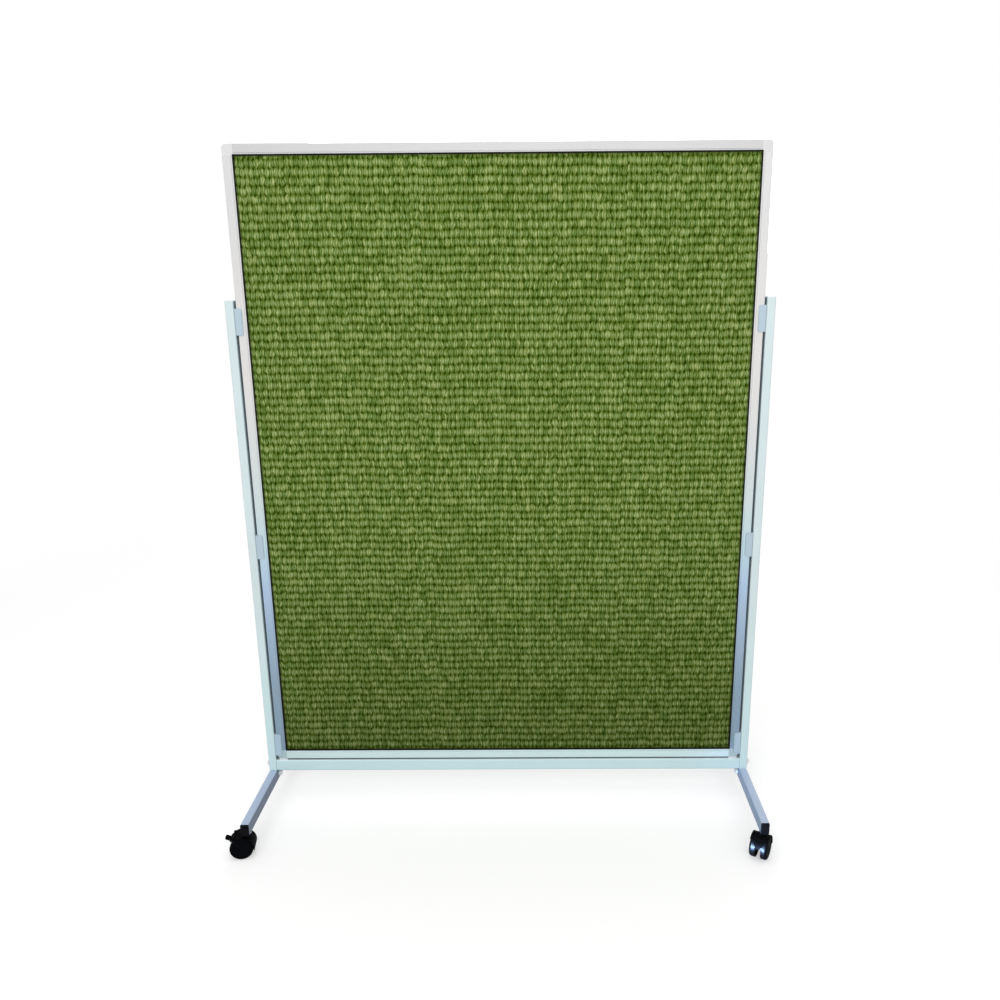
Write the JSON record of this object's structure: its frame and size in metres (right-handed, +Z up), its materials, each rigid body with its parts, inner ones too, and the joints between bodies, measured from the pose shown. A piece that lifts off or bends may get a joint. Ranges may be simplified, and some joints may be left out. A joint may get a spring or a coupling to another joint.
{
  "type": "rolling partition",
  "caption": "Free-standing room divider: a framed pinboard, clothed on both faces, carried between tube uprights on a low stand with swivelling twin-wheel casters.",
  "frame": {"origin": "on the floor, under the middle of the panel", "axes": "+X along the panel to the right as seen from the front, +Y from the front face to the back face, +Z up"},
  "size_m": [1.3336, 0.5382, 1.626],
  "materials": {
    "anodised_frame": "satin anodised extrusion",
    "corner_plastic": "pale grey moulded plastic, satin",
    "board_core": "raw softboard, hidden under the cloth",
    "green_cloth": "coarse basket weave, matt",
    "gasket_rubber": "black, matt",
    "white_powder_coat": "white powder coat, satin",
    "white_plastic": "white moulded plastic, satin",
    "black_plug_plastic": "black moulded plastic, satin",
    "black_caster_plastic": "black moulded nylon, satin",
    "black_wheel_plastic": "black moulded nylon, worn smooth on the tread",
    "zinc_steel": "bright zinc plate"
  },
  "bodies": {
    "stand": {"top_rail": "anodised_frame", "bottom_rail": "anodised_frame", "left_stile": "anodised_frame", "right_stile": "anodised_frame", "top_left_corner": "corner_plastic", "top_right_corner": "corner_plastic", "bottom_left_corner": "corner_plastic", "bottom_right_corner": "corner_plastic", "pinboard_core": "board_core", "front_fabric": "green_cloth", "back_fabric": "green_cloth", "front_gasket": "gasket_rubber", "back_gasket": "gasket_rubber", "left_upper_clip": "white_powder_coat", "left_middle_clip": "white_powder_coat", "left_lower_clip": "white_powder_coat", "right_upper_clip": "white_powder_coat", "right_middle_clip": "white_powder_coat", "right_lower_clip": "white_powder_coat", "clip_screws": "zinc_steel", "left_upright": "white_powder_coat", "right_upright": "white_powder_coat", "left_upright_cap": "white_plastic", "right_upright_cap": "white_plastic", "crossbar": "white_powder_coat", "crossbar_inserts": "zinc_steel", "crossbar_bolts": "zinc_steel", "panel_rests": "white_plastic", "left_foot_joiner": "zinc_steel", "right_foot_joiner": "zinc_steel", "foot_bolts": "zinc_steel", "foot_nuts": "zinc_steel", "bolt_domes": "white_plastic", "left_leg": "white_powder_coat", "right_leg": "white_powder_coat", "left_front_plug": "black_plug_plastic", "right_front_plug": "black_plug_plastic", "left_rear_plug": "black_plug_plastic", "right_rear_plug": "black_plug_plastic", "caster_sockets": "zinc_steel", "caster_stems": "zinc_steel"},
    "front_left_swivel": {"front_left_fork": "black_caster_plastic", "front_left_axle": "zinc_steel"},
    "front_left_wheel_a_body": {"front_left_wheel_a": "black_wheel_plastic"},
    "front_left_wheel_b_body": {"front_left_wheel_b": "black_wheel_plastic"},
    "front_left_brake": {"front_left_brake_pedal": "black_caster_plastic"},
    "front_right_swivel": {"front_right_fork": "black_caster_plastic", "front_right_axle": "zinc_steel"},
    "front_right_wheel_a_body": {"front_right_wheel_a": "black_wheel_plastic"},
    "front_right_wheel_b_body": {"front_right_wheel_b": "black_wheel_plastic"},
    "rear_left_swivel": {"rear_left_fork": "black_caster_plastic", "rear_left_axle": "zinc_steel"},
    "rear_left_wheel_a_body": {"rear_left_wheel_a": "black_wheel_plastic"},
    "rear_left_wheel_b_body": {"rear_left_wheel_b": "black_wheel_plastic"},
    "rear_right_swivel": {"rear_right_fork": "black_caster_plastic", "rear_right_axle": "zinc_steel"},
    "rear_right_wheel_a_body": {"rear_right_wheel_a": "black_wheel_plastic"},
    "rear_right_wheel_b_body": {"rear_right_wheel_b": "black_wheel_plastic"},
    "rear_right_brake": {"rear_right_brake_pedal": "black_caster_plastic"}
  },
  "joints": [
    {"name": "front_left_swivel_turn", "type": "hinge", "parent": "stand", "child": "front_left_swivel", "pos_m": [-0.615, -0.224, 0.05], "axis": [0, 0, 1], "continuous": true},
    {"name": "front_left_wheel_a_spin", "type": "hinge", "parent": "front_left_swivel", "child": "front_left_wheel_a_body", "pos_m": [-0.62977, -0.22661, 0.0275], "axis": [0.1736, -0.9848, 0], "continuous": true},
    {"name": "front_left_wheel_b_spin", "type": "hinge", "parent": "front_left_swivel", "child": "front_left_wheel_b_body", "pos_m": [-0.62977, -0.22661, 0.0275], "axis": [0.1736, -0.9848, 0], "continuous": true},
    {"name": "front_left_brake_press", "type": "hinge", "parent": "front_left_swivel", "child": "front_left_brake", "pos_m": [-0.64538, -0.22936, 0.05495], "axis": [0.1736, -0.9848, 0], "range_deg": [0, 12]},
    {"name": "front_right_swivel_turn", "type": "hinge", "parent": "stand", "child": "front_right_swivel", "pos_m": [0.615, -0.224, 0.05], "axis": [0, 0, 1], "continuous": true},
    {"name": "front_right_wheel_a_spin", "type": "hinge", "parent": "front_right_swivel", "child": "front_right_wheel_a_body", "pos_m": [0.6075, -0.23699, 0.0275], "axis": [0.866, -0.5, 0], "continuous": true},
    {"name": "front_right_wheel_b_spin", "type": "hinge", "parent": "front_right_swivel", "child": "front_right_wheel_b_body", "pos_m": [0.6075, -0.23699, 0.0275], "axis": [0.866, -0.5, 0], "continuous": true},
    {"name": "rear_left_swivel_turn", "type": "hinge", "parent": "stand", "child": "rear_left_swivel", "pos_m": [-0.615, 0.224, 0.05], "axis": [0, 0, 1], "continuous": true},
    {"name": "rear_left_wheel_a_spin", "type": "hinge", "parent": "rear_left_swivel", "child": "rear_left_wheel_a_body", "pos_m": [-0.6075, 0.23699, 0.0275], "axis": [-0.866, 0.5, 0], "continuous": true},
    {"name": "rear_left_wheel_b_spin", "type": "hinge", "parent": "rear_left_swivel", "child": "rear_left_wheel_b_body", "pos_m": [-0.6075, 0.23699, 0.0275], "axis": [-0.866, 0.5, 0], "continuous": true},
    {"name": "rear_right_swivel_turn", "type": "hinge", "parent": "stand", "child": "rear_right_swivel", "pos_m": [0.615, 0.224, 0.05], "axis": [0, 0, 1], "continuous": true},
    {"name": "rear_right_wheel_a_spin", "type": "hinge", "parent": "rear_right_swivel", "child": "rear_right_wheel_a_body", "pos_m": [0.62977, 0.22661, 0.0275], "axis": [-0.1736, 0.9848, 0], "continuous": true},
    {"name": "rear_right_wheel_b_spin", "type": "hinge", "parent": "rear_right_swivel", "child": "rear_right_wheel_b_body", "pos_m": [0.62977, 0.22661, 0.0275], "axis": [-0.1736, 0.9848, 0], "continuous": true},
    {"name": "rear_right_brake_press", "type": "hinge", "parent": "rear_right_swivel", "child": "rear_right_brake", "pos_m": [0.64538, 0.22936, 0.05495], "axis": [-0.1736, 0.9848, 0], "range_deg": [0, 12]}
  ]
}
